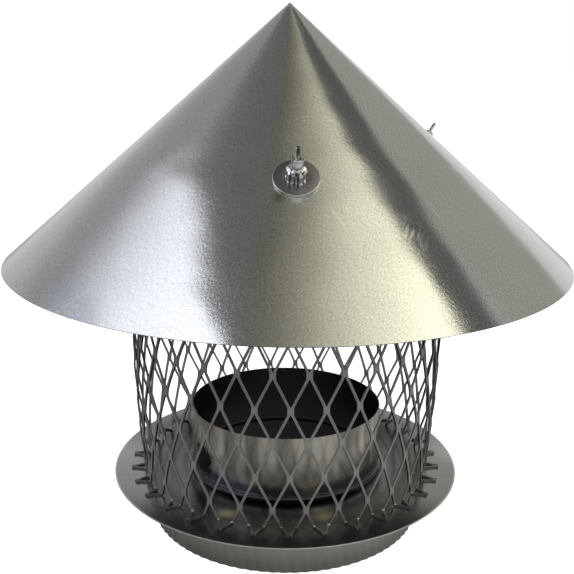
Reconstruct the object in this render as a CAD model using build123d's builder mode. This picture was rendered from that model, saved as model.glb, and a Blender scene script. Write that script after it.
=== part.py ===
# Round chimney cap: a sheet cone over a ring of expanded-metal mesh, on a flanged pipe base.
# Millimetres, +Z up. The origin is the centre of the ring that the cap stands on.
# The front, where one of the three cone fixings is, faces -Y.
from math import atan2, ceil, cos, degrees, hypot, pi, radians, sin, tan
import os

from build123d import *

os.makedirs("parts", exist_ok=True)

# Sheet thicknesses
cone_sheet = 0.7
flange_sheet = 0.8
throat_sheet = 0.6
skirt_sheet = 0.6

# Outer skirt, gathered into crimps at its lower end to slip into the outer pipe
skirt_radius = 108.4
skirt_height = 38.0
skirt_sides = 28
crimps_per_side = 3
crimp_depth = 1.8
crimp_length = 17.0

# Base flange
flange_radius = 139.0
flange_sides = 36

# Throat, a stub with a round bore that takes the end of the inner pipe
throat_radius = 76.2
throat_rise = 51.0
throat_drop = 34.0
throat_sides = 32
foot_width = 3.2
foot_height = 3.0
throat_clearance = 0.2

# Rain cone, with its lap at the back
cone_radius = 212.5
cone_height = 185.7
cone_lift = 174.1
cone_sides = 48
lap_start = 9.0

# Expanded-metal ring: a flat strip, its edges folded out at the foot and the head, and rolled
column_count = 31
first_column_angle = 1.6
row_pitch = 25.4
first_row = 14.5
waist_row = 5
opening_rise = 23.1
opening_share = 0.89
strand_thickness = 1.5
strand_lean = 45.0
foot_ring_radius = 114.1
waist_ring_radius = 120.6
head_ring_radius = 112.0
head_tab = 10.4
fold_gap = 0.1

# Cone fixings: outer washer, sleeve nut, screw and inner washer, just outside the mesh's head
fixing_angles = (2.3, 122.3, 228.0)
fixing_setback = 15.5
screw_radius = 1.9
tip_length = 8.6
head_radius = 3.9
head_height = 2.6
hole_clearance = 0.3
thread_clearance = 0.08
outer_washer_radius = 14.9
inner_washer_radius = 13.8
washer_thickness = 1.5
washer_sides = 10
nut_across_flats = 12.4
nut_hex_height = 9.5
barrel_radius = 3.8
barrel_height = 8.0
shoulder_height = 1.4
barrel_sides = 8
bore_sides = 6
seat_gap = 0.05

# Heights and slopes worked out from the sizes above
flange_top = skirt_height + flange_sheet
rim_height = flange_top + cone_lift
apex_height = rim_height + cone_height
slope = atan2(cone_height, cone_radius)
half_facet = pi / cone_sides
fixing_radius = head_ring_radius + fixing_setback


def cone_surface(radius):
    """Height of the cone's outer surface at a radius."""
    return apex_height - radius * tan(slope)


def radial_plane(angle):
    """Upright plane through the axis: its x runs outwards at an angle from the front, its y up."""
    turn = radians(angle - 90)
    return Plane(origin=(0, 0, 0), x_dir=(cos(turn), sin(turn), 0), z_dir=(sin(turn), -cos(turn), 0))


def fixing_plane(angle):
    """Plane on the cone's outer surface at a fixing, facing out along the screw."""
    turn = radians(angle - 90)
    out = Vector(cos(turn), sin(turn), 0)
    origin = out * fixing_radius + Vector(0, 0, cone_surface(fixing_radius))
    return Plane(origin=origin, x_dir=(-sin(turn), cos(turn), 0), z_dir=out * sin(slope) + Vector(0, 0, cos(slope)))


# Rain cone: one rolled sheet in narrow flat facets, lapped over itself on the facet at the back
def cone_facet(start, lift):
    """The facet at the back, from a radius to the rim, lifted square off the cone's surface."""
    rise = lift / cos(slope)
    drop = cone_sheet / cos(slope)
    inner_edge = start * cos(half_facet)
    outer_edge = cone_radius * cos(half_facet)
    with BuildPart() as facet:
        with BuildSketch(radial_plane(180)):
            Polygon(
                (inner_edge, cone_surface(start) + rise),
                (outer_edge, rim_height + rise),
                (outer_edge, rim_height + rise - drop),
                (inner_edge, cone_surface(start) + rise - drop),
                align=None,
            )
        extrude(amount=cone_radius, both=True)
        with BuildSketch(Plane.XY):
            Polygon(
                (0, 0),
                (cone_radius * tan(half_facet), cone_radius),
                (-cone_radius * tan(half_facet), cone_radius),
                align=None,
            )
        extrude(amount=apex_height + rise, mode=Mode.INTERSECT)
    return facet.part


with BuildPart() as rain_cone:
    with PolarLocations(0, cone_sides):
        add(cone_facet(0, 0))
    add(cone_facet(lap_start, cone_sheet))
    for angle in fixing_angles:
        with BuildSketch(fixing_plane(angle)):
            RegularPolygon(screw_radius + hole_clearance, bore_sides)
        extrude(amount=2 * cone_sheet, both=True, mode=Mode.SUBTRACT)
rain_cone.part.label = "rain_cone"

# Expanded-metal ring. The strip's strands lean up and outwards, as the stretching leaves them,
# so every panel of it is a flat pattern thickened along that one lean.
half_step = pi / column_count
lean = radians(strand_lean)
lean_depth = strand_thickness / cos(lean)
foot_tab_thickness = lean_depth * sin(lean)
head_tab_thickness = lean_depth * sin(lean + slope)
foot_fold = flange_top + foot_tab_thickness / 2

# How far the flat facets of the cone and the strip's ridges eat into the room between the two
facet_room = fixing_radius * sin(slope) * (1 / cos(half_step) + 1 / cos(half_facet) - 2)
head_drop = (cone_sheet + fold_gap + facet_room + head_tab_thickness / 2) / cos(slope)
head_fold = cone_surface(head_ring_radius) - head_drop

# Heights up the strip from the foot fold
waist_strip = first_row + (waist_row - 1) * row_pitch
head_strip = head_fold - foot_fold
strip_low = first_row - row_pitch
strip_high = head_strip + head_tab
row_count = 1 + ceil((strip_high - first_row) / row_pitch)
foot_tip = (foot_ring_radius - strip_low, foot_fold)
foot_bend = (foot_ring_radius, foot_fold)
waist_bend = (waist_ring_radius, foot_fold + waist_strip)
head_bend = (head_ring_radius, head_fold)
head_tip_radius = head_ring_radius + head_tab * cos(slope)
head_tip = (head_tip_radius, cone_surface(head_tip_radius) - head_drop)


def opening_corners(row, low, high):
    """Half widths of a row's opening, as shares of half a column, at strip heights within a panel."""
    middle = first_row + (row - 1) * row_pitch
    heights = sorted({min(max(h, low), high) for h in (middle - opening_rise, middle, middle + opening_rise)})
    corners = [(opening_share * (1 - abs(h - middle) / opening_rise), h) for h in heights]
    return corners if len(corners) > 1 else []


def strip_panel(low, high, low_point, high_point):
    """A flat panel one column wide, between two strip heights and the (radius, height) of each.

    Gives three sketches: its sheet, the openings down its middle and those cut by its right ridge.
    """
    run = high_point[0] - low_point[0]
    rise = high_point[1] - low_point[1]
    length = hypot(run, rise)
    plane = Plane(
        origin=(low_point[0], 0, low_point[1]),
        x_dir=(0, 1, 0),
        z_dir=(rise / length, 0, -run / length),
    )

    def place(share, height):
        along = (height - low) / (high - low)
        return share * tan(half_step) * (low_point[0] + run * along), along * length

    overlap = 1.05
    with BuildSketch(plane) as sheet:
        Polygon(place(-overlap, low), place(overlap, low), place(overlap, high), place(-overlap, high), align=None)
    with BuildSketch(plane) as middle_openings:
        for row in range(1, row_count + 1, 2):
            corners = opening_corners(row, low, high)
            if corners:
                right = [place(share, height) for share, height in corners]
                left = [place(-share, height) for share, height in reversed(corners) if share > 0]
                Polygon(*right, *left, align=None)
    with BuildSketch(plane) as ridge_openings:
        for row in range(0, row_count + 1, 2):
            corners = opening_corners(row, low, high)
            if corners:
                inner = [place(1 - share, height) for share, height in corners]
                ridge = [place(1, height) for share, height in reversed(corners) if share > 0]
                Polygon(*inner, *ridge, align=None)
    return sheet.sketch, middle_openings.sketch, ridge_openings.sketch


panels = []
for low, high, low_point, high_point in (
    (strip_low, 0, foot_tip, foot_bend),
    (0, waist_strip, foot_bend, waist_bend),
    (waist_strip, head_strip, waist_bend, head_bend),
    (head_strip, strip_high, head_bend, head_tip),
):
    sheet, middle_openings, ridge_openings = strip_panel(low, high, low_point, high_point)
    with BuildPart() as panel:
        extrude(sheet, amount=lean_depth / 2, dir=(cos(lean), 0, sin(lean)), both=True)
        extrude(middle_openings, amount=lean_depth, dir=(cos(lean), 0, sin(lean)), both=True, mode=Mode.SUBTRACT)
        for side in (1, -1):
            half = ridge_openings if side > 0 else mirror(ridge_openings, about=Plane.XZ, mode=Mode.PRIVATE)
            along_ridge = (cos(lean), side * cos(lean) * tan(half_step), sin(lean))
            extrude(half, amount=lean_depth, dir=along_ridge, both=True, mode=Mode.SUBTRACT)
    panels.append(panel.part)

with BuildPart() as column:
    add(panels)
    with BuildSketch(Plane.XY):
        Polygon(
            (0, 0),
            (cone_radius, -cone_radius * tan(half_step)),
            (cone_radius, cone_radius * tan(half_step)),
            align=None,
        )
    extrude(amount=apex_height, mode=Mode.INTERSECT)

with BuildPart() as spark_mesh:
    with PolarLocations(0, column_count, start_angle=first_column_angle - 90):
        add(column.part)
spark_mesh.part.label = "spark_mesh"

# Base flange: a flat ring round the throat
with BuildPart() as base_flange:
    with BuildSketch(Plane.XY.offset(skirt_height)):
        RegularPolygon(flange_radius, flange_sides)
        RegularPolygon(throat_radius + throat_clearance, throat_sides, major_radius=False, mode=Mode.SUBTRACT)
    extrude(amount=flange_sheet)
base_flange.part.label = "base_flange"

# Throat: a pipe stub that stands on the flange by a swaged lip and runs on down inside the skirt
with BuildPart() as throat:
    with BuildSketch(Plane.XY.offset(skirt_height - throat_drop)):
        RegularPolygon(throat_radius, throat_sides, major_radius=False)
    extrude(amount=throat_drop + flange_sheet + throat_rise)
    with BuildSketch(Plane.XY.offset(flange_top)):
        RegularPolygon(throat_radius + foot_width, throat_sides, major_radius=False)
    extrude(amount=foot_height, taper=degrees(atan2(foot_width, foot_height)))
    with BuildSketch(Plane.XY.offset(skirt_height - throat_drop)):
        Circle(throat_radius - throat_sheet)
    extrude(amount=throat_drop + flange_sheet + throat_rise, mode=Mode.SUBTRACT)
throat.part.label = "throat"


# Outer skirt: the flat sides of the rolled band, each with its crimps
def crimped_band(inset):
    """Solid inside the skirt's outer surface, moved in by a distance, with its crimps pressed in."""
    side_distance = (skirt_radius - inset) * cos(pi / skirt_sides)
    crimp_pitch = 2 * side_distance * tan(pi / skirt_sides) / crimps_per_side
    with BuildPart() as crimp:
        with BuildSketch():
            Polygon(
                (side_distance - crimp_depth, 0),
                (side_distance + crimp_depth, -crimp_pitch),
                (side_distance + crimp_depth, crimp_pitch),
                align=None,
            )
        extrude(amount=skirt_height, dir=(crimp_depth, 0, crimp_length))
    with BuildPart() as band:
        with BuildSketch():
            RegularPolygon(skirt_radius - inset, skirt_sides)
        extrude(amount=skirt_height)
        with PolarLocations(0, skirt_sides, start_angle=180 / skirt_sides):
            with GridLocations(crimp_pitch, crimp_pitch, 1, crimps_per_side):
                add(crimp.part, mode=Mode.SUBTRACT)
    return band.part


with BuildPart() as outer_skirt:
    add(crimped_band(0))
    add(crimped_band(skirt_sheet), mode=Mode.SUBTRACT)
outer_skirt.part.label = "outer_skirt"

# Fixings: heights along each screw, from the cone's outer surface outwards
surface_radius = fixing_radius / sin(slope)
inner_washer_sag = inner_washer_radius**2 / 2 / surface_radius
inner_seat = -(cone_sheet + fold_gap + facet_room + head_tab_thickness + inner_washer_sag + seat_gap)
head_seat = inner_seat - washer_thickness
nut_seat = seat_gap + washer_thickness
barrel_seat = nut_seat + nut_hex_height
barrel_end = barrel_seat + barrel_height
fixings = []
for number, angle in enumerate(fixing_angles, start=1):
    seat = fixing_plane(angle)
    with BuildPart() as outer_washer:
        with BuildSketch(seat.offset(seat_gap)):
            RegularPolygon(outer_washer_radius, washer_sides)
            RegularPolygon(screw_radius + hole_clearance, bore_sides, mode=Mode.SUBTRACT)
        extrude(amount=washer_thickness)
    with BuildPart() as inner_washer:
        with BuildSketch(seat.offset(head_seat)):
            RegularPolygon(inner_washer_radius, washer_sides)
            RegularPolygon(screw_radius + hole_clearance, bore_sides, mode=Mode.SUBTRACT)
        extrude(amount=washer_thickness)
    with BuildPart() as sleeve_nut:
        with BuildSketch(seat.offset(nut_seat)):
            RegularPolygon(nut_across_flats / 2, 6, major_radius=False)
        extrude(amount=nut_hex_height)
        with BuildSketch(seat.offset(barrel_seat)):
            RegularPolygon(barrel_radius, barrel_sides)
        extrude(amount=barrel_height)
        chamfer(faces().sort_by(Axis(seat.origin, seat.z_dir))[-1].edges(), shoulder_height)
        with BuildSketch(seat.offset(nut_seat)):
            RegularPolygon(screw_radius + thread_clearance, bore_sides)
        extrude(amount=barrel_end, mode=Mode.SUBTRACT)
    with BuildPart() as fixing_screw:
        with BuildSketch(seat.offset(head_seat)):
            RegularPolygon(screw_radius, bore_sides)
        extrude(amount=barrel_end + tip_length - head_seat)
        with BuildSketch(seat.offset(head_seat - head_height)):
            RegularPolygon(head_radius, bore_sides)
        extrude(amount=head_height)
    outer_washer.part.label = f"outer_washer_{number}"
    inner_washer.part.label = f"inner_washer_{number}"
    sleeve_nut.part.label = f"sleeve_nut_{number}"
    fixing_screw.part.label = f"fixing_screw_{number}"
    fixings += [outer_washer.part, inner_washer.part, sleeve_nut.part, fixing_screw.part]

for piece in (rain_cone.part, spark_mesh.part, base_flange.part, throat.part, outer_skirt.part, *fixings):
    export_step(piece, f"parts/{piece.label}.step")
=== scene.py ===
from math import atan, cos, hypot, pi, radians, sin, tan

import bmesh
import bpy
from mathutils import Matrix, Vector


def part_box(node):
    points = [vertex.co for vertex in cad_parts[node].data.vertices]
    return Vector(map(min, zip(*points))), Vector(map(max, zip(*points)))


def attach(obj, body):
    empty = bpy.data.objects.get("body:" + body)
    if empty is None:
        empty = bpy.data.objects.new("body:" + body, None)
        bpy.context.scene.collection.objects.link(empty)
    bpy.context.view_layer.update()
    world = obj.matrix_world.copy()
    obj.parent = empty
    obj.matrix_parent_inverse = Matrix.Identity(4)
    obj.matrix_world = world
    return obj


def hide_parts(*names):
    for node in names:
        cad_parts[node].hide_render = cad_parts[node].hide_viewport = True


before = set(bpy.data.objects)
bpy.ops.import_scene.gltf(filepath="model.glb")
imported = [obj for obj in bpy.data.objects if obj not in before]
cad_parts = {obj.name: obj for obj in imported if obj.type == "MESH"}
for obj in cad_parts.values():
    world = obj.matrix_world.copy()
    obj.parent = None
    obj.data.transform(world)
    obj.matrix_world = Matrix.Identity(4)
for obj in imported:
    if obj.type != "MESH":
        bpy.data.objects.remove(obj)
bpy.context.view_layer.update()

mm = 0.001
near = 0.1 * mm

# Sizes read from the frame, in metres
cone_low, cone_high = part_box("rain_cone")
flange_low, flange_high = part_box("base_flange")
throat_low, throat_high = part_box("throat")
skirt_low, skirt_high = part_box("outer_skirt")

# Sheet thicknesses
cone_sheet = 0.7 * mm
throat_sheet = 0.6 * mm
skirt_sheet = 0.6 * mm
washer_sheet = 1.5 * mm

# Cone, with the shares of the way down at which rings of edges are cut
cone_radius = 212.5 * mm
cone_sides = 240
cone_rings = (0.02, 0.06, 0.15, 0.3, 0.45, 0.6, 0.75, 0.88, 0.96, 0.99)
apex_height = cone_high[2]
cut_edge = 1.33 * cone_sheet
cone_slope = atan((apex_height - cone_low[2] - cut_edge) / cone_radius)
rim_height = apex_height - cone_radius * tan(cone_slope)

# Eave, longest a little to the right of the front
eave_length = 6.6 * mm
eave_turn = radians(5)

# Lap seam at the back
lap_angle = radians(7.5)
lap_sheet = 0.98 * cone_sheet
lap_from_apex = 8 * mm

# Flange and throat, with ring heights above the flange
flange_top = flange_high[2]
flange_radius = flange_high[0]
flange_sides = 256
throat_radius = 76.2 * mm
throat_sides = 192
throat_rings = (-3, -0.3, 0.35, 0.7, 1.2, 1.8, 2.4, 3.0, 3.5, 5, 20, 38)
hole_radius = throat_radius + 0.2 * mm
lip_width = 3.2 * mm
lip_height = 3 * mm

# Skirt, with ring heights above its lower edge
skirt_radius = skirt_high[0]
skirt_rings = (2.5, 5, 7.5, 8.8, 10, 11, 12, 12.8, 13.5)
crimp_count = 84
sides_of_crimp = 8
crimp_depth = 0.45 * mm
crimp_length = 12.5 * mm
crimp_run_out = 5 * mm
crimp_taper = 0.35

# Expanded metal, along its flat strip
column_count = 31
first_column = radians(1.6)
row_pitch = 25.4 * mm
first_row = 14.5 * mm
row_count = 11
strand_width = 1.75 * mm
strand_thickness = 1.35 * mm
strand_rounding = 0.18 * mm
strand_lean = radians(20)
strand_swing = 0.5 * mm
bond_width = 4.5 * mm
bond_share = 0.1
strip_end = 0.6 * mm
merge_reach = 0.02 * mm

# Ring that the strip is rolled into, folded outwards at its foot and down along the cone at its head
foot_ring_radius = 114.1 * mm
waist_ring_radius = 120.6 * mm
head_ring_radius = 112.0 * mm
cell_width = 2 * pi * foot_ring_radius / column_count
strip_low = first_row - row_pitch
strip_high = first_row + (row_count - 1) * row_pitch
straight_from = 4 * mm
straight_to = strip_high - 14 * mm
head_fold_on_strip = 258.2 * mm
fold_cuts = (-2.2, -1.1, 0, 1.1, 2.2)
fold_bend = 1.6 * mm
head_gap = 0.8 * mm
wall_foot = flange_top + strand_thickness / 2
head_drop = (cone_sheet + head_gap + strand_thickness / 2) / cos(cone_slope)
head_height = apex_height - head_ring_radius * tan(cone_slope) - head_drop
wall_height = head_height - wall_foot
waist_height = 0.45 * wall_height

# Fixings, with heights along the screw from the cone's sheet
fixing_angles = (radians(2.3), radians(122.3), radians(228.0))
fixing_radius = 127.5 * mm
upper_washer_radius = 14.9 * mm
upper_washer_low = 0.05 * mm
lower_washer_radius = 13.8 * mm
lower_washer_low = -5.8 * mm
washer_hole = 2.3 * mm
hexagon_low = 1.55 * mm
hexagon_high = 8.6 * mm
hexagon_inner_radius = 6.2 * mm
hexagon_turn = radians(12)
barrel_low = hexagon_high - 0.5 * mm
barrel_high = 19.05 * mm
barrel_radius = 3.8 * mm
screw_head_low = -8.5 * mm
screw_head_radius = 3.9 * mm
screw_core_radius = 1.45 * mm
screw_tip = 27.6 * mm
hexagon_chamfer = 0.9 * mm
shoulder_height = 1.1 * mm
shoulder_width = 1.1 * mm
shoulder_rise = 0.5 * mm
barrel_lip = 1.6 * mm
thread_low = 18.4 * mm
thread_end = 0.9 * mm
thread_pitch = 1.25 * mm
thread_depth = 0.5 * mm
thread_root_radius = 1.35 * mm
thread_steps = 24

# Places seen from above: a painted shadow by the front washer, rubbed on the right, the flange's
# gold-tinted painted reflections, the burn
washer_shade = (-5.4 * mm, -138.2 * mm)
rubbed_spot = (76 * mm, -144 * mm)
left_reflection_patch = (-41 * mm, -91.5 * mm)
right_reflection_patch = (26.5 * mm, -90 * mm)
burnt_spot = (-64 * mm, -41.5 * mm)

# Colours of the steel's marks, and of its painted shade, reflections and highlight
heat_brown = (0.20, 0.13, 0.07, 1)
reflection_gold = (0.62, 0.52, 0.30, 1)
foot_shade_blue = (0.17, 0.185, 0.205, 1)
flare_shade_black = (0.07, 0.075, 0.085, 1)
fold_highlight_white = (0.85, 0.85, 0.85, 1)
burn_black = (0.03, 0.03, 0.035, 1)
inside_shade_black = (0.055, 0.06, 0.058, 1)
rim_grey = (0.62, 0.62, 0.61, 1)

# Viewpoint of the photograph
lens_length = 53.43
film_width = 36
eye_place = (0, -0.6506, 0.3553)
eye_pitch = radians(90 - 14.668)
eye_roll = radians(0.5887)


# Small helpers for modelling with operators
def clear_selection():
    """Leaves nothing selected in object mode."""
    for thing in list(bpy.context.selected_objects):
        thing.select_set(False)


def take(*pieces):
    """Selects pieces alone, the last one active."""
    clear_selection()
    for piece in pieces:
        piece.select_set(True)
    bpy.context.view_layer.objects.active = pieces[-1]


def open_piece(piece):
    """Goes into edit mode on one piece, with nothing selected."""
    take(piece)
    bpy.ops.object.mode_set(mode="EDIT")
    bpy.ops.mesh.select_all(action="DESELECT")


def close_piece():
    """Goes back to object mode."""
    bpy.ops.object.mode_set(mode="OBJECT")


def pick(piece, parts, test):
    """Selects the vertices or faces of the open piece whose middle passes a test."""
    shape = bmesh.from_edit_mesh(piece.data)
    bpy.ops.mesh.select_mode(type={"verts": "VERT", "faces": "FACE"}[parts])
    for item in getattr(shape, parts):
        item.select_set(test(item.co if parts == "verts" else item.calc_center_median()))
    shape.select_flush_mode()
    bmesh.update_edit_mesh(piece.data)


def cut(place, normal, clear_outer=False):
    """Cuts the whole open piece along a plane, and may clear what lies past it."""
    bpy.ops.mesh.select_all(action="SELECT")
    bpy.ops.mesh.bisect(plane_co=place, plane_no=normal, clear_outer=clear_outer)


def cut_rings(piece, heights):
    """Cuts level rings of edges into a piece."""
    open_piece(piece)
    for height in heights:
        cut((0, 0, height), (0, 0, 1))
    close_piece()


def start_cylinder(sides, radius, low, high, ends="NGON", turn=0):
    """A cylinder between two heights, from which a piece is made."""
    clear_selection()
    bpy.ops.mesh.primitive_cylinder_add(
        vertices=sides, radius=radius, depth=high - low, end_fill_type=ends,
        location=(0, 0, (high + low) / 2), rotation=(0, 0, turn))
    bpy.ops.object.transform_apply(location=True, rotation=True, scale=True)
    return bpy.context.object


def start_cone(lift):
    """The cone's bare surface, raised by a lift."""
    clear_selection()
    bpy.ops.mesh.primitive_cone_add(
        vertices=cone_sides, radius1=cone_radius, depth=apex_height - rim_height,
        end_fill_type="NOTHING", location=(0, 0, (apex_height + rim_height) / 2 + lift))
    bpy.ops.object.transform_apply(location=True, rotation=True, scale=True)
    return bpy.context.object


def modify(piece, kind, **settings):
    """Adds a modifier and applies it."""
    take(piece)
    modifier = piece.modifiers.new(kind.title(), kind)
    for name, value in settings.items():
        setattr(modifier, name, value)
    bpy.ops.object.modifier_apply(modifier=modifier.name)


def thicken(piece, sheet):
    """Gives a surface its wall, on its inner side."""
    modify(piece, "SOLIDIFY", thickness=sheet, offset=-1)


def round_edges(piece, width, segments, sharpest):
    """Rounds the edges that turn by more than an angle in degrees."""
    modify(piece, "BEVEL", width=width, segments=segments, limit_method="ANGLE",
           angle_limit=radians(sharpest))


def open_hole(piece, border):
    """Opens the middle of a flat piece, leaving a border."""
    open_piece(piece)
    pick(piece, "faces", lambda middle: hypot(middle.x, middle.y) < near)
    bpy.ops.mesh.inset(thickness=border)
    bpy.ops.mesh.bridge_edge_loops()
    close_piece()


def reshape(piece, move):
    """Moves every vertex of a closed piece by a function of its place."""
    for vertex in piece.data.vertices:
        vertex.co = move(vertex.co)
    piece.data.update()


def tie(piece, name):
    """Names a piece and ties it to the frame."""
    piece.name = name
    piece.data.name = name
    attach(piece, "root")
    return piece


def settle(piece, name, node, smooth_angle):
    """Smooths a finished piece, rests its place in its mesh and puts it in place of its node."""
    take(piece)
    bpy.ops.object.transform_apply(location=True, rotation=True, scale=True)
    bpy.ops.object.shade_smooth_by_angle(angle=radians(smooth_angle))
    tie(piece, name)
    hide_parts(node)
    return piece


# Rain cone
def make_rain_cone():
    """The cone's sheet, cut a little longer at the front."""
    cone = start_cone(0)
    cut_rings(cone, [apex_height - (apex_height - rim_height) * share for share in cone_rings])

    def trim(place):
        reach = hypot(place.x, place.y)
        if reach < 0.995 * cone_radius:
            return place
        forward = max(0, place.x * sin(eave_turn) - place.y * cos(eave_turn)) / reach
        longer = eave_length * forward ** 2
        out = Vector((place.x, place.y, 0)) / reach
        return place + out * longer * cos(cone_slope) - Vector((0, 0, longer * sin(cone_slope)))

    reshape(cone, trim)
    thicken(cone, cone_sheet)
    return settle(cone, "rolled_cone", "rain_cone", 30)


def make_lap():
    """The seam's upper edge: a narrow wedge of the sheet that lies over the rest."""
    lap = start_cone(cone_sheet / cos(cone_slope))
    open_piece(lap)
    for side in (1, -1):
        cut((0, 0, 0), (side * cos(lap_angle / 2), -sin(lap_angle / 2), 0), clear_outer=True)
    cut((0, 0, apex_height - lap_from_apex), (0, 0, 1), clear_outer=True)
    close_piece()
    thicken(lap, lap_sheet)
    return tie(lap, "cone_lap")


# Expanded-metal ring
def make_cell(half_width, half_height):
    """One diamond of the flat strip: its strands round a six-sided opening."""
    diagonal = hypot(half_width, half_height)
    inner = 1 - strand_width / 2 * diagonal / (half_width * half_height)
    corner_cut = half_width * inner - (half_width - bond_width / 2)
    clear_selection()
    bpy.ops.mesh.primitive_circle_add(vertices=4, radius=1, fill_type="NOTHING")
    cell = bpy.context.object
    open_piece(cell)
    bpy.ops.mesh.select_all(action="SELECT")
    bpy.ops.transform.resize(value=(half_width, half_height, 1))
    bpy.ops.mesh.select_all(action="DESELECT")
    bpy.ops.mesh.primitive_circle_add(vertices=4, radius=1, fill_type="NOTHING")
    bpy.ops.transform.resize(value=(half_width * inner, half_height * inner, 1))
    pick(cell, "verts", lambda p: abs(p.y) < near < abs(p.x) < 0.99 * half_width)
    bpy.ops.mesh.bevel(offset=corner_cut * diagonal / half_width, offset_type="OFFSET", affect="VERTICES",
                       segments=2, profile=0.35)
    bpy.ops.mesh.select_mode(type="EDGE")
    bpy.ops.mesh.select_all(action="SELECT")
    bpy.ops.mesh.bridge_edge_loops()
    close_piece()
    return cell


def wall_radius(height):
    """Radius of the ring's wall at a height over its foot, widest at the waist."""
    if height < waist_height:
        return waist_ring_radius - (waist_ring_radius - foot_ring_radius) * (1 - height / waist_height) ** 2
    past_waist = (height - waist_height) / (wall_height - waist_height)
    return waist_ring_radius - (waist_ring_radius - head_ring_radius) * past_waist ** 2


def ring_profile(height):
    """Radius, height and outward normal of the strip's middle at a height up the strip."""
    if height < -fold_bend:
        return foot_ring_radius - height, wall_foot, Vector((0, 1))
    if height < fold_bend:
        turn = (height + fold_bend) / (2 * fold_bend) * pi / 2
        radius = foot_ring_radius + fold_bend * (1 - sin(turn))
        return radius, wall_foot + fold_bend * (1 - cos(turn)), Vector((sin(turn), cos(turn)))
    if height < wall_height - fold_bend:
        widening = wall_radius(height + near) - wall_radius(height - near)
        return wall_radius(height), wall_foot + height, Vector((2 * near, -widening)).normalized()
    past = height - (wall_height - fold_bend)
    if past < 2 * fold_bend:
        turn = past / (2 * fold_bend) * (pi / 2 + cone_slope)
        radius = head_ring_radius + 0.8 * fold_bend * (1 - cos(turn))
        level = head_height - fold_bend + 0.9 * fold_bend * sin(min(turn, pi / 2))
        return radius, level, Vector((cos(turn), -sin(turn)))
    along = past - fold_bend
    radius = head_ring_radius + along * cos(cone_slope)
    return radius, head_height - along * sin(cone_slope), Vector((-sin(cone_slope), -cos(cone_slope)))


def strand_swings(height):
    """How far a strand swings inwards at a height up the strip, as the stretching twists it."""
    phase = ((height - strip_low) / row_pitch) % 1
    if phase <= bond_share:
        return 0.8 * strand_swing * phase / bond_share
    if phase >= 1 - bond_share:
        return -0.8 * strand_swing * (1 - phase) / bond_share
    return strand_swing * (1 - 2 * phase)


def roll(place):
    """Moves a place on the flat strip onto the folded and rolled ring."""
    along, height, depth = place
    straight = straight_from <= height <= straight_to
    radius, level, out = ring_profile(height + (depth * tan(strand_lean) if straight else 0))
    outward = depth - (strand_swings(height) if straight else 0)
    radius += outward * out.x
    level += outward * out.y
    turn = first_column - pi / 2 + along / cell_width * 2 * pi / column_count
    return Vector((radius * cos(turn), radius * sin(turn), level))


def make_spark_mesh():
    """The strip of expanded metal: copied cells, thickened, then folded and rolled into a ring."""
    strip = make_cell(cell_width / 2, row_pitch)
    copies = (
        (2, (cell_width / 2, row_pitch, 0)),
        ((row_count + 1) // 2, (0, 2 * row_pitch, 0)),
        (column_count, (cell_width, 0, 0)),
    )
    for count, shift in copies:
        modify(strip, "ARRAY", count=count, use_relative_offset=False, use_constant_offset=True,
               constant_offset_displace=shift, use_merge_vertices=True, merge_threshold=merge_reach)
    open_piece(strip)
    bpy.ops.mesh.select_all(action="SELECT")
    bpy.ops.transform.translate(value=(-cell_width / 2, strip_low, 0))
    bpy.ops.mesh.remove_doubles(threshold=merge_reach)
    cut((0, strip_low - strip_end, 0), (0, -1, 0), clear_outer=True)
    cut((0, strip_high + strip_end, 0), (0, 1, 0), clear_outer=True)
    quarters = [strip_low + row_pitch * k / 4 for k in range(1, 4 * row_count + 4) if k % 4]
    folds = [fold + step * mm for fold in (0, head_fold_on_strip) for step in fold_cuts]
    for height in quarters + folds:
        cut((0, height, 0), (0, 1, 0))
    close_piece()
    modify(strip, "SOLIDIFY", thickness=strand_thickness, offset=0)
    round_edges(strip, strand_rounding, 1, 35)
    reshape(strip, roll)
    open_piece(strip)
    bpy.ops.mesh.select_all(action="SELECT")
    bpy.ops.mesh.remove_doubles(threshold=merge_reach)
    bpy.ops.mesh.normals_make_consistent(inside=False)
    close_piece()
    return settle(strip, "expanded_metal_ring", "spark_mesh", 25)


# Base pieces
def make_flange():
    """The flat ring, its edges slightly rounded by the shears."""
    flange = start_cylinder(flange_sides, flange_radius, flange_low[2], flange_top)
    open_hole(flange, flange_radius - hole_radius)
    round_edges(flange, 0.2 * mm, 2, 50)
    return settle(flange, "flange_ring", "base_flange", 30)


def make_throat():
    """The pipe stub, with the swaged lip that it stands on."""
    throat = start_cylinder(throat_sides, throat_radius, throat_low[2], throat_high[2], ends="NOTHING")
    cut_rings(throat, [flange_top + height * mm for height in throat_rings])

    def swage(place):
        above = (place.z - flange_top) / lip_height
        if 0 < above < 1:
            grow = 1 + lip_width * (1 - above) ** 1.6 / throat_radius
            return Vector((place.x * grow, place.y * grow, place.z))
        return place

    reshape(throat, swage)
    thicken(throat, throat_sheet)
    return settle(throat, "throat_pipe", "throat", 40)


def make_skirt():
    """The band below the flange, its lower end pressed into crimps with rounded tops."""
    sides = crimp_count * sides_of_crimp
    skirt = start_cylinder(sides, skirt_radius, skirt_low[2], skirt_high[2], ends="NOTHING")
    cut_rings(skirt, [height * mm for height in skirt_rings])

    def crimp(place):
        from_top = (crimp_length + 1 * mm - place.z) / crimp_run_out
        strength = max(0, min(1, from_top)) ** 0.6
        around = Vector((place.x, place.y)).angle_signed(Vector((1, 0)), 0)
        wave = (0.5 - 0.5 * cos(around * crimp_count)) ** 0.8
        taper = 1 + crimp_taper * max(0, 1 - place.z / crimp_length)
        shrink = 1 - crimp_depth * strength * taper * wave / skirt_radius
        return Vector((place.x * shrink, place.y * shrink, place.z))

    reshape(skirt, crimp)
    thicken(skirt, skirt_sheet)
    return settle(skirt, "crimped_skirt", "outer_skirt", 40)


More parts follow.
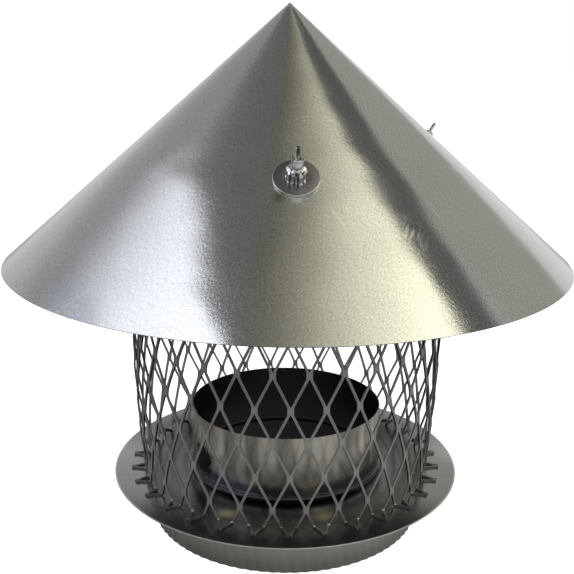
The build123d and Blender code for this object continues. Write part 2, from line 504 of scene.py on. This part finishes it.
# Fixings
def fixing_frame(turn):
    """Place and turn of one fixing: its z runs out of the cone along the screw."""
    out = Vector((sin(turn), -cos(turn), 0))
    normal = out * sin(cone_slope) + Vector((0, 0, cos(cone_slope)))
    across = normal.cross(Vector((0, 0, 1))).normalized()
    up = normal.cross(across)
    seat = out * fixing_radius + Vector((0, 0, apex_height - fixing_radius * tan(cone_slope)))
    turned = Matrix((across, up, normal)).transposed().to_4x4()
    return Matrix.Translation(seat) @ turned


def settle_fixing(piece, name, node, turn):
    """Moves a piece modelled at the origin onto its fixing, and keeps its own places for the finish."""
    spots = piece.data.attributes.new("own_place", "FLOAT_VECTOR", "POINT")
    for vertex, spot in zip(piece.data.vertices, spots.data):
        spot.vector = vertex.co
    piece.data.transform(fixing_frame(turn))
    return settle(piece, name, node, 35)


def make_washer(name, node, turn, radius, low):
    """A round washer with rounded edges and its hole."""
    washer = start_cylinder(64, radius, low, low + washer_sheet)
    open_hole(washer, radius - washer_hole)
    round_edges(washer, 0.25 * mm, 3, 50)
    return settle_fixing(washer, name, node, turn)


def make_nut(name, node, turn):
    """The sleeve nut: a chamfered hexagon, a round barrel and its rounded shoulder."""
    corner_radius = hexagon_inner_radius / cos(pi / 6)
    nut = start_cylinder(6, corner_radius, hexagon_low, hexagon_high, turn=hexagon_turn)
    round_edges(nut, 0.5 * mm, 2, 40)
    open_piece(nut)
    pick(nut, "faces", lambda middle: middle.z > hexagon_high - near)
    bpy.ops.mesh.inset(thickness=hexagon_chamfer)
    bpy.ops.mesh.extrude_region_move(TRANSFORM_OT_translate={"value": (0, 0, shoulder_height)})
    bpy.ops.mesh.inset(thickness=shoulder_width)
    bpy.ops.transform.translate(value=(0, 0, shoulder_rise))
    close_piece()
    barrel = start_cylinder(40, barrel_radius, barrel_low, barrel_high)
    open_piece(barrel)
    pick(barrel, "faces", lambda middle: middle.z > barrel_high - near)
    bpy.ops.mesh.inset(thickness=barrel_lip)
    close_piece()
    round_edges(barrel, 1.2 * mm, 4, 60)
    take(barrel, nut)
    bpy.ops.object.join()
    return settle_fixing(nut, name, node, turn)


def make_thread():
    """The thread's ridge, wound round the screw's end."""
    clear_selection()
    bpy.ops.mesh.primitive_plane_add(size=1)
    thread = bpy.context.object
    open_piece(thread)
    bpy.ops.mesh.select_all(action="SELECT")
    bpy.ops.mesh.merge(type="CENTER")
    bpy.ops.transform.translate(value=(thread_root_radius, 0, thread_low))
    for outward in (thread_depth, -thread_depth):
        bpy.ops.mesh.extrude_region_move(TRANSFORM_OT_translate={"value": (outward, 0, thread_pitch / 2)})
    close_piece()
    turns = int((screw_tip - thread_low - thread_end) / thread_pitch)
    modify(thread, "SCREW", axis="Z", steps=thread_steps, render_steps=thread_steps,
           screw_offset=thread_pitch, iterations=turns, use_merge_vertices=True,
           merge_threshold=0.01 * mm)
    open_piece(thread)
    bpy.ops.mesh.select_all(action="SELECT")
    bpy.ops.mesh.normals_make_consistent(inside=False)
    close_piece()
    return thread


def make_screw(name, node, turn):
    """The screw: a low round head under the cone and a threaded end above the nut."""
    screw = start_cylinder(24, screw_core_radius, lower_washer_low, screw_tip)
    round_edges(screw, 0.5 * mm, 2, 60)
    head = start_cylinder(40, screw_head_radius, screw_head_low, lower_washer_low)
    round_edges(head, 1.1 * mm, 4, 60)
    take(make_thread(), head, screw)
    bpy.ops.object.join()
    return settle_fixing(screw, name, node, turn)


# Materials
class Wire:
    """A socket of a node tree on which plain Python arithmetic adds Math nodes."""

    def __init__(self, nodes, socket):
        self.nodes = nodes
        self.socket = socket

    def maths(self, operation, *others, flip=False):
        values = [self, *others]
        if flip:
            values.reverse()
        return self.nodes.add("ShaderNodeMath", {"operation": operation}, dict(enumerate(values)))

    def __add__(self, other):
        return self.maths("ADD", other)

    __radd__ = __add__

    def __sub__(self, other):
        return self.maths("SUBTRACT", other)

    def __rsub__(self, other):
        return self.maths("SUBTRACT", other, flip=True)

    def __mul__(self, other):
        return self.maths("MULTIPLY", other)

    __rmul__ = __mul__

    def __pow__(self, other):
        return self.maths("POWER", other)


class Nodes:
    """A node tree being built."""

    def __init__(self, tree):
        self.tree = tree

    def feed(self, socket, value):
        """Links a wire to a socket, or gives the socket a value of its own."""
        if isinstance(value, Wire):
            self.tree.links.new(value.socket, socket)
        else:
            socket.default_value = value

    def add(self, kind, settings, inputs, output=0):
        """Adds a node, sets it up, feeds its inputs, and gives one output or all of them."""
        node = self.tree.nodes.new(kind)
        for name, value in settings.items():
            if name == "stops":
                stops = node.color_ramp.elements
                while len(stops) < len(value):
                    stops.new(0.5)
                for stop, (place, level) in zip(stops, value):
                    stop.position = place
                    stop.color = (level, level, level, 1)
            else:
                setattr(node, name, value)
        for name, value in inputs.items():
            self.feed(node.inputs[name], value)
        if output == "all":
            return [Wire(self, socket) for socket in node.outputs]
        return Wire(self, node.outputs[output])

    def split(self, vector):
        """The three numbers of a vector."""
        return self.add("ShaderNodeSeparateXYZ", {}, {0: vector}, "all")

    def step(self, value, low, high):
        """Smoothly 0 below the low value and 1 above the high one."""
        return self.add("ShaderNodeMapRange", {"interpolation_type": "SMOOTHSTEP"},
                        {"Value": value, "From Min": low, "From Max": high})

    def grey(self, level, tint):
        """A tint at a level."""
        return self.add("ShaderNodeVectorMath", {"operation": "SCALE"}, {0: tint, "Scale": level})

    def mix(self, factor, first, second):
        """A mix of two colours."""
        return self.add("ShaderNodeMix", {"data_type": "RGBA"}, {0: factor, 6: first, 7: second}, 2)


class Shader(Nodes):
    """A material being built, on its Principled shader."""

    def __init__(self, name, **constants):
        self.material = bpy.data.materials.new(name)
        self.material.use_nodes = True
        super().__init__(self.material.node_tree)
        self.surface = self.tree.nodes["Principled BSDF"]
        self.link(**constants)
        self.place = self.add("ShaderNodeTexCoord", {}, {}, "Object")

    def link(self, **sockets):
        """Feeds sockets of the surface, named with underlines for spaces."""
        for name, value in sockets.items():
            self.feed(self.surface.inputs[name.replace("_", " ")], value)

    def noise(self, scale, detail, stretch=(1, 1, 1), place=None):
        """Noise on the object's own place, or on another, stretched."""
        moved = self.add("ShaderNodeMapping", {}, {"Vector": place or self.place, "Scale": stretch})
        return self.add("ShaderNodeTexNoise", {}, {"Vector": moved, "Scale": scale, "Detail": detail})

    def streaks(self, place, scale, squeeze=1, turn=0, detail=1):
        """Noise on a flat place, turned and drawn out into short strokes."""
        flat = self.add("ShaderNodeMapping", {}, {"Vector": place, "Rotation": (0, 0, radians(turn))})
        return self.noise(scale, detail, (1, squeeze, 1), flat)

    def band(self, value, rise, fall):
        """Smoothly 1 between a rise and a fall, and 0 outside them."""
        return self.step(value, *rise) * (1 - self.step(value, *fall))

    def blob(self, x, y, middle, radius):
        """A soft round patch: 1 at its middle, seen from above, and 0 beyond its radius."""
        return 1 - self.step(length(x - middle[0], y - middle[1]), 0, radius)

    def normal(self):
        """The three numbers of the surface's normal."""
        return self.split(self.add("ShaderNodeNewGeometry", {}, {}, "Normal"))

    def bump(self, height, strength, distance, under=None):
        """Feeds the surface's normal with a bump, over a coarser one where there is one."""
        inputs = {"Height": height, "Strength": strength, "Distance": distance}
        if under:
            inputs["Normal"] = under
        normal = self.add("ShaderNodeBump", {}, inputs)
        self.link(Normal=normal)
        return normal


def length(x, y):
    """The length of a flat vector."""
    return (x * x + y * y) ** 0.5


def cone_steel():
    """Satin mill sheet: short grain, handling marks, a few scratches, a painted shadow by the front washer,
    and an underside that is duller and painted darker as shade.
    """
    shader = Shader("cone_steel_finish", Metallic=1.0)
    x, y = shader.split(shader.place)[:2]
    turn = x.maths("ARCTAN2", y * -1) * cos(cone_slope)
    reach = length(x, y) * (1 / cos(cone_slope))
    flat = {0: reach * turn.maths("SINE"), 1: reach * turn.maths("COSINE")}
    sheet = shader.add("ShaderNodeCombineXYZ", {}, flat)
    grain = shader.streaks(sheet, scale=1500, squeeze=0.3, turn=-38, detail=2)
    fine = shader.streaks(sheet, scale=2600, squeeze=0.45, turn=-38)
    clouds = shader.streaks(sheet, scale=26, detail=4)
    handled = shader.step(shader.streaks(sheet, scale=14), 0.5, 0.62)
    scratches = shader.step(shader.streaks(sheet, scale=330, squeeze=0.03, turn=-64, detail=0), 0.76, 0.80)
    scratches += shader.step(shader.streaks(sheet, scale=280, squeeze=0.03, turn=31, detail=0), 0.76, 0.80)
    scratches *= handled
    # A painted shadow on the cone below the front washer.
    shade = shader.blob(x, y, washer_shade, 6 * mm)
    rubs = shader.step(shader.streaks(sheet, scale=500, squeeze=0.15, turn=-20), 0.4, 0.7)
    haze = shader.blob(x, y, rubbed_spot, 16 * mm) * rubs
    # The underside is painted darker as shade, and made rougher.
    under = shader.step(shader.normal()[2] * -1, -0.1, 0.1)
    level = 0.16 + 0.62 * grain + 0.28 * fine + 0.08 * clouds + 0.12 * scratches + 0.12 * haze
    level = level * (1 - 0.62 * under) * (1 - 0.5 * shade)
    roughness = 0.07 + 0.04 * clouds + 0.06 * grain + 0.15 * under + 0.09 * haze
    shader.link(Base_Color=shader.grey(level, (1.0, 1.005, 0.97)), Roughness=roughness)
    waves = shader.bump(shader.streaks(sheet, scale=15), strength=1.0, distance=1.3 * mm)
    shader.bump(grain + 0.5 * fine, strength=0.18, distance=0.2 * mm, under=waves)
    return shader


def mesh_steel():
    """Dull strands cut by shearing, painted darker above and on their side faces as shade, with glints at
    the bends and brown feet on the left.
    """
    shader = Shader("mesh_steel_finish", Metallic=1.0)
    x, y, z = shader.split(shader.place)
    height = z - flange_top
    mottle = shader.noise(180, 3)
    # Painted shade under the cone: the strands darker towards the top.
    upper = shader.step(height, 45 * mm, 165 * mm)
    foot = 1 - shader.step(height, 1.2 * mm, 4 * mm)
    heat = foot * shader.step(x * -1, 10 * mm, 90 * mm)
    bend = shader.band(height, (1.2 * mm, 1.7 * mm), (2.3 * mm, 2.9 * mm))
    glint = bend * shader.step(mottle, 0.42, 0.56)
    # The strands' side faces, turned round the ring rather than outwards, are painted darker as shade.
    across, ahead = shader.normal()[:2]
    facing = (across * x + ahead * y).maths("ABSOLUTE") * length(x, y) ** -1
    shaded_side_faces = (1 - shader.step(facing, 0.35, 0.8)) * (1 - foot)
    level = 0.54 + 0.12 * (mottle - 0.5)
    level = level * (1 - 0.55 * upper) * (1 - 0.62 * foot) * (1 - 0.62 * shaded_side_faces) + 0.5 * glint
    plain = shader.grey(level, (1.0, 0.985, 0.94))
    tinted = shader.mix(heat * mottle * 0.5, plain, heat_brown)
    shader.link(Base_Color=tinted, Roughness=0.36 + 0.18 * mottle)
    return shader


def flange_steel():
    """Bright sheet with faint rolling lines; painted shade inside the mesh and at the back, a painted dark
    reflection in front, a painted highlight on the outer edge, and gold-tinted painted reflections in
    front.
    """
    shader = Shader("flange_steel_finish", Metallic=1.0)
    x, y = shader.split(shader.place)[:2]
    reach = length(x, y)
    lines = shader.noise(260, 2, (0.05, 1, 1))
    clouds = shader.noise(40, 3)
    # Painted shade inside the mesh ring.
    inside = 1 - shader.step(reach, 108 * mm, 120 * mm)
    # Painted dark reflection across the front, the outer edge left out.
    front = shader.step(y * -1, 50 * mm, 120 * mm)
    # Painted shade at the back.
    back = shader.step(y, 0.0, 70 * mm)
    # Painted highlight along the outer edge.
    edge = shader.step(reach, flange_radius - 1.3 * mm, flange_radius - 0.5 * mm)
    level = (0.42 + 0.07 * lines + 0.06 * clouds) * (1 - 0.55 * inside)
    level = level * (1 - 0.66 * front * (1 - edge)) * (1 - 0.78 * back) + 0.5 * edge
    plain = shader.grey(level, (1.0, 1.0, 0.975))
    # Painted gold-tinted reflections on the flange in front.
    painted_reflections = shader.blob(x, y, left_reflection_patch, 11 * mm) + shader.blob(x, y, right_reflection_patch, 15 * mm)
    tinted = shader.mix(painted_reflections, plain, reflection_gold)
    shader.link(Base_Color=tinted, Roughness=0.12 + 0.08 * lines + 0.05 * clouds + 0.12 * front)
    shader.bump(lines, strength=0.08, distance=0.2 * mm)
    return shader


def throat_steel():
    """Bright pipe with upright bands painted as reflections, painted shade at the foot and on the swaged
    lip, a painted highlight along the fold, a rough burn and an inside painted near-black as shade.
    """
    shader = Shader("throat_steel_finish", Metallic=1.0)
    x, y, z = shader.split(shader.place)
    height = z - flange_top
    lines = shader.noise(260, 2, (1, 1, 0.04))
    bands = shader.noise(75, 1, (1, 1, 0.06))
    patches = shader.noise(160, 4)
    spatter = shader.noise(420, 3, (1, 1, 0.6))
    across, ahead = shader.normal()[:2]
    # The inner wall, painted near-black as shade.
    inside = shader.step(across * x + ahead * y, 0.03, -0.03)
    # Painted shade at the foot, with a ragged upper edge.
    foot = 1 - shader.step(height + 6 * mm * (patches - 0.5), 9 * mm, 16 * mm)
    # A painted highlight along the fold of the lip.
    fold = shader.band(height, (3.9 * mm, 4.2 * mm), (4.7 * mm, 5.0 * mm)) * shader.step(patches, 0.35, 0.6)
    # Painted reflections: upright bright bands on the pale beige pipe.
    bright = shader.step(bands, 0.38, 0.62)
    # Painted shade, near black, on the swaged lip.
    flare = 1 - shader.step(height, 2.4 * mm, 3.8 * mm)
    burn = shader.blob(x, y, burnt_spot, 16 * mm)
    burn = burn * shader.band(height, (7 * mm, 11 * mm), (22 * mm, 31 * mm))
    burn = shader.step(burn + 2.0 * (spatter - 0.5), 0.14, 0.28) * shader.step(burn, 0.02, 0.12)
    colour = shader.grey(0.42 + 0.50 * bright + 0.14 * lines, (1.0, 0.965, 0.84))
    colour = shader.mix(foot, colour, foot_shade_blue)
    colour = shader.mix(flare, colour, flare_shade_black)
    colour = shader.mix(fold, colour, fold_highlight_white)
    colour = shader.mix(burn, colour, burn_black)
    colour = shader.mix(inside, colour, inside_shade_black)
    shader.link(Base_Color=colour, Roughness=0.16 + 0.10 * lines + 0.25 * burn + 0.18 * inside)
    shader.bump(lines + 8 * burn * patches, strength=0.15, distance=0.3 * mm)
    return shader


def skirt_steel():
    """Satin grey-olive sheet, paler under the flange."""
    shader = Shader("skirt_steel_finish", Metallic=1.0)
    clouds = shader.noise(30, 3, (1, 1, 0.3))
    lines = shader.noise(300, 2, (0.1, 0.1, 1))
    pale = shader.step(shader.split(shader.place)[2], 2 * mm, 18 * mm)
    level = 0.34 + 0.26 * pale + 0.10 * (clouds - 0.5) + 0.08 * (lines - 0.5)
    shader.link(Base_Color=shader.grey(level, (1.0, 1.0, 0.90)), Roughness=0.22 + 0.12 * clouds)
    shader.bump(lines, strength=0.1, distance=0.2 * mm)
    return shader


def fixing_steel():
    """Plated hardware: dark washer faces with bright rims, and streaky bright nuts."""
    shader = Shader("fixing_steel_finish", Metallic=1.0)
    own = shader.add("ShaderNodeAttribute", {"attribute_name": "own_place"}, {}, "Vector")
    reach = length(*shader.split(own)[:2])
    mottle = shader.noise(700, 3)
    streaks = shader.step(shader.noise(420, 1, (1, 1, 0.12), own), 0.42, 0.56)
    rim = shader.step(reach, 14.2 * mm, 14.5 * mm)
    face = shader.step(reach, 6.9 * mm, 7.3 * mm) * (1 - rim)
    plated = shader.grey(0.16 + 0.66 * streaks, (1.0, 1.0, 0.98))
    plated = shader.mix(rim, plated, rim_grey)
    dark = shader.grey(0.20 + 0.14 * mottle, (1.0, 0.97, 1.04))
    shader.link(Base_Color=shader.mix(face, plated, dark), Roughness=0.10 + 0.12 * mottle + 0.08 * face)
    return shader


# Pieces and their finishes
def dress(piece, shader):
    """Gives a piece one material."""
    piece.data.materials.clear()
    piece.data.materials.append(shader.material)


cone_finish = cone_steel()
fixing_finish = fixing_steel()
dress(make_rain_cone(), cone_finish)
dress(make_lap(), cone_finish)
dress(make_spark_mesh(), mesh_steel())
dress(make_flange(), flange_steel())
dress(make_throat(), throat_steel())
dress(make_skirt(), skirt_steel())
for number, turn in enumerate(fixing_angles, start=1):
    for piece in (
        make_washer(f"washer_above_{number}", f"outer_washer_{number}", turn,
                    upper_washer_radius, upper_washer_low),
        make_washer(f"washer_below_{number}", f"inner_washer_{number}", turn,
                    lower_washer_radius, lower_washer_low),
        make_nut(f"hex_sleeve_{number}", f"sleeve_nut_{number}", turn),
        make_screw(f"threaded_screw_{number}", f"fixing_screw_{number}", turn),
    ):
        dress(piece, fixing_finish)


# Floor, lights and camera
def make_floor():
    """A plain pale floor, left out of the steel's reflections and seen only from above."""
    clear_selection()
    bpy.ops.mesh.primitive_plane_add(size=80, location=(0, 0, 0))
    floor = bpy.context.object
    floor.name = "floor"
    floor.visible_glossy = False
    paint = Shader("pale_floor", Base_Color=(0.86, 0.86, 0.86, 1), Roughness=0.9,
                   Emission_Color=(1, 1, 1, 1), Emission_Strength=1.0)
    paint.link(Alpha=1 - paint.add("ShaderNodeNewGeometry", {}, {}, "Backfacing"))
    dress(floor, paint)


def add_card(name, place, turn, size, powers, colour):
    """A flat softbox overhead, whose glow changes evenly along its length."""
    clear_selection()
    bpy.ops.mesh.primitive_plane_add(size=1, location=place, rotation=(0, 0, radians(turn)))
    card = bpy.context.object
    card.name = name
    card.scale = (*size, 1)
    card.visible_camera = False
    glow = Shader(name + "_glow", Base_Color=(0, 0, 0, 1), Specular_IOR_Level=0.0, Emission_Strength=1.0)
    level = glow.add("ShaderNodeMapRange", {"interpolation_type": "SMOOTHSTEP"},
                     {"Value": glow.split(glow.place)[1], "From Min": -0.5, "From Max": 0.5,
                      "To Min": powers[0], "To Max": powers[1]})
    glow.link(Emission_Color=glow.grey(level, colour))
    dress(card, glow)


def make_surroundings():
    """A plain room: white to the eye, and grey in the steel, brighter on the right, darker overhead."""
    world = bpy.data.worlds.new("room")
    world.use_nodes = True
    room = Nodes(world.node_tree)
    seen = world.node_tree.nodes["Background"]
    seen.inputs["Color"].default_value = (1, 1, 1, 1)
    across, ahead, upward = room.split(room.add("ShaderNodeTexCoord", {}, {}, "Generated"))
    levels = ((0.0, 0.16), (0.42, 0.22), (0.5, 0.62), (0.72, 0.42), (0.88, 0.32), (0.94, 0.17), (1.0, 0.13))
    height = room.add("ShaderNodeMapRange", {}, {"Value": upward, "From Min": -1})
    grey = room.add("ShaderNodeValToRGB", {"stops": levels}, {0: height})
    sideways = room.add("ShaderNodeMapRange", {},
                        {"Value": across, "From Min": -1, "To Min": 0.95, "To Max": 1.5})
    mirrored = room.add("ShaderNodeBackground", {}, {"Color": grey, "Strength": sideways})
    to_eye = room.add("ShaderNodeLightPath", {}, {}, "Is Camera Ray")
    shown = room.add("ShaderNodeMixShader", {}, {0: to_eye, 1: mirrored, 2: Wire(room, seen.outputs[0])})
    room.feed(world.node_tree.nodes["World Output"].inputs[0], shown)
    bpy.context.scene.world = world
    bpy.context.scene.view_settings.view_transform = "Standard"


def make_camera():
    """The photograph's viewpoint."""
    lens = bpy.data.cameras.new("viewpoint")
    lens.lens = lens_length
    lens.sensor_width = film_width
    camera = bpy.data.objects.new("viewpoint", lens)
    turned = Matrix.Rotation(eye_pitch, 4, "X") @ Matrix.Rotation(eye_roll, 4, "Z")
    camera.matrix_world = Matrix.Translation(eye_place) @ turned
    bpy.context.scene.collection.objects.link(camera)
    bpy.context.scene.camera = camera


make_floor()
make_surroundings()
add_card("left_softbox", place=(-3.03, -0.34, 2.3), turn=32.5, size=(3.8, 3.8),
         powers=(1.4, 0.5), colour=(0.80, 0.84, 1.0))
add_card("left_strip", place=(-1.71, 0.43, 2.28), turn=32.5, size=(0.75, 3.8),
         powers=(1.95, 0.45), colour=(0.88, 0.90, 1.0))
add_card("right_softbox", place=(0.834, -0.284, 2.31), turn=-104.8, size=(1.3, 2.2),
         powers=(0.16, 2.0), colour=(1.0, 0.975, 0.77))
add_card("dark_flag", place=(1.74, 0.45, 2.28), turn=-15, size=(2.3, 0.72),
         powers=(0.12, 0.12), colour=(1.0, 1.0, 1.0))
add_card("right_ceiling", place=(3.2, 3.35, 2.32), turn=0, size=(5.7, 5.0),
         powers=(0.40, 0.38), colour=(1.0, 0.99, 0.90))
add_card("left_ceiling", place=(-1.9, 3.6, 2.34), turn=0, size=(4.5, 5.4),
         powers=(0.34, 0.5), colour=(0.99, 0.99, 1.0))
make_camera()
